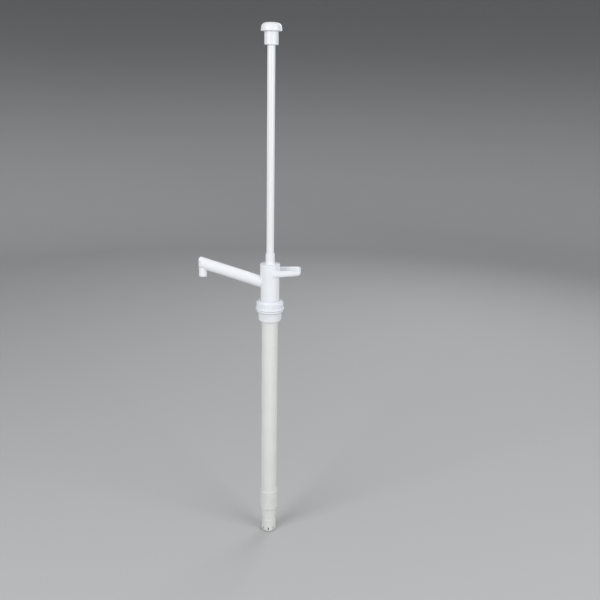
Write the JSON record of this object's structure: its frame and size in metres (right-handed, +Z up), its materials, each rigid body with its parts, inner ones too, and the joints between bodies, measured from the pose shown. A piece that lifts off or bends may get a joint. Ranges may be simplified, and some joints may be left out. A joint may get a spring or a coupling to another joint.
{
  "type": "hand lift drum pump",
  "caption": "Hand-operated plastic lift pump for a drum bung: rising spout, trough-shaped side handle, long plunger rod with a mushroom knob, and check valves inside.",
  "frame": {"origin": "on the pump's axis, at the face of the drum's bung where the gasket seats", "axes": "+Z up along the rod, spout towards -X, side handle towards +X"},
  "size_m": [0.2612, 0.0736, 1.3538],
  "materials": {
    "white_plastic": "satin moulded polyolefin",
    "white_tube": "smooth extruded tube",
    "natural_plastic": "natural moulded plastic",
    "acetal": "machined",
    "seal_rubber": "matt nitrile rubber",
    "gasket_rubber": "white rubber",
    "steel_pin": "plain stainless steel",
    "ball_steel": "polished stainless steel"
  },
  "bodies": {
    "adaptor": {"bung_gasket": "gasket_rubber", "bung_adaptor": "white_plastic", "union_seal": "seal_rubber"},
    "washer": {"thrust_washer": "acetal"},
    "nut": {"clamp_nut": "white_plastic"},
    "pump": {"pump_body": "white_plastic", "cap_seal": "seal_rubber", "head_cap": "white_plastic", "spout_tube": "white_plastic", "outlet_nozzle": "white_plastic", "barrel_tube": "natural_plastic", "rod_guide": "white_plastic", "rod_bush": "acetal", "rod_wiper": "seal_rubber", "foot_valve_body": "natural_plastic", "foot_stop_pin": "steel_pin", "suction_tube": "natural_plastic", "strainer": "natural_plastic"},
    "rod": {"rod_tube": "white_tube", "knob_neck": "white_plastic", "knob_cap": "white_plastic", "knob_pin": "steel_pin", "rod_plug": "acetal", "piston_body": "acetal", "piston_seal_lower": "seal_rubber", "piston_seal_upper": "seal_rubber", "piston_stop_pin": "steel_pin"},
    "upper_ball": {"piston_ball": "ball_steel"},
    "lower_ball": {"foot_ball": "ball_steel"}
  },
  "joints": [
    {"name": "body_swivel", "type": "hinge", "parent": "adaptor", "child": "pump", "pos_m": [0, 0, 0.019], "axis": [0, 0, 1], "continuous": true},
    {"name": "rod_slide", "type": "slide", "parent": "pump", "child": "rod", "axis": [0, 0, 1], "range_m": [-0.502, 0]},
    {"name": "piston_ball_lift", "type": "slide", "parent": "rod", "child": "upper_ball", "axis": [0, 0, 1], "range_m": [0, 0.005]},
    {"name": "foot_ball_lift", "type": "slide", "parent": "pump", "child": "lower_ball", "axis": [0, 0, 1], "range_m": [0, 0.006]},
    {"name": "nut_lift", "type": "slide", "parent": "adaptor", "child": "washer", "axis": [0, 0, 1], "range_m": [0, 0.008]},
    {"name": "nut_turn", "type": "hinge", "parent": "washer", "child": "nut", "pos_m": [0, 0, 0.0175], "axis": [0, 0, 1], "range_deg": [0, 720]}
  ],
  "couplings": [
    {"joint": "nut_lift", "follows": "nut_turn", "m_per_rad": 0.00063662}
  ]
}
